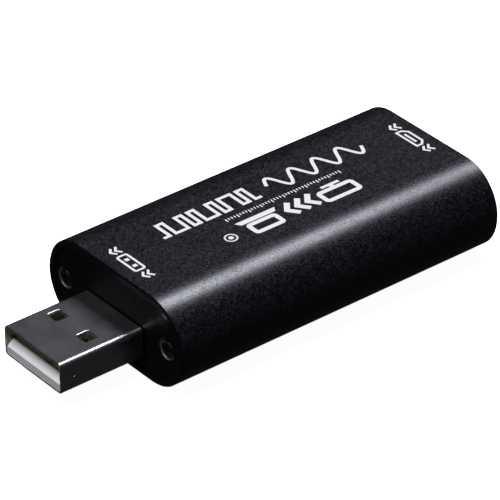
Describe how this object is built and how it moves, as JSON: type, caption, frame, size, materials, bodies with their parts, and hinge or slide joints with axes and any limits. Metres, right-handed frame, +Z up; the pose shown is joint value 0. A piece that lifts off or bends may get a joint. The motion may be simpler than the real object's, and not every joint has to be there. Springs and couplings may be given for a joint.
{
  "type": "video capture box",
  "caption": "Stick-shaped video capture box: oval anodised sleeve with a data plug at one end and a video socket at the other.",
  "frame": {"origin": "middle of the bottom of the whole box's extent, on the case's flat underside", "axes": "+X along the box from the data plug to the video socket, +Y across it, +Z up through the printed top"},
  "size_m": [0.0654, 0.028, 0.013],
  "materials": {
    "anodised_case": "satin",
    "anodised_plate": "satin",
    "blackened_steel": "satin",
    "plated_steel": "satin",
    "white_insulator": "satin",
    "black_insulator": "satin",
    "gilt_contacts": "satin",
    "board_laminate": "satin",
    "solder": "satin",
    "chip_resin": "matte",
    "tinned_leads": "satin",
    "nickel_lid": "satin",
    "capacitor_resin": "matte",
    "tan_ceramic": "satin",
    "dark_ceramic": "satin",
    "grey_ferrite": "matte",
    "white_print": "satin"
  },
  "bodies": {
    "root": {"case_tube": "anodised_case", "plug_end_plate": "anodised_plate", "socket_end_plate": "anodised_plate", "plug_end_screws": "blackened_steel", "socket_end_screws": "blackened_steel", "plug_shell": "plated_steel", "plug_tongue": "white_insulator", "plug_contacts": "gilt_contacts", "socket_shell": "plated_steel", "socket_tongue": "black_insulator", "socket_contacts_upper": "gilt_contacts", "socket_contacts_lower": "gilt_contacts", "circuit_board": "board_laminate", "solder_joints": "solder", "capture_chip": "chip_resin", "capture_chip_pads": "tinned_leads", "memory_chip": "chip_resin", "memory_chip_leads": "tinned_leads", "voltage_regulator": "chip_resin", "regulator_leads": "tinned_leads", "crystal_lid": "nickel_lid", "crystal_base": "dark_ceramic", "crystal_pads": "tinned_leads", "bulk_capacitors": "capacitor_resin", "bulk_capacitor_tabs": "tinned_leads", "ceramic_capacitors": "tan_ceramic", "chip_resistors": "dark_ceramic", "ferrite_beads": "grey_ferrite", "chip_end_caps": "tinned_leads", "surge_arrays": "chip_resin"}
  },
  "joints": []
}
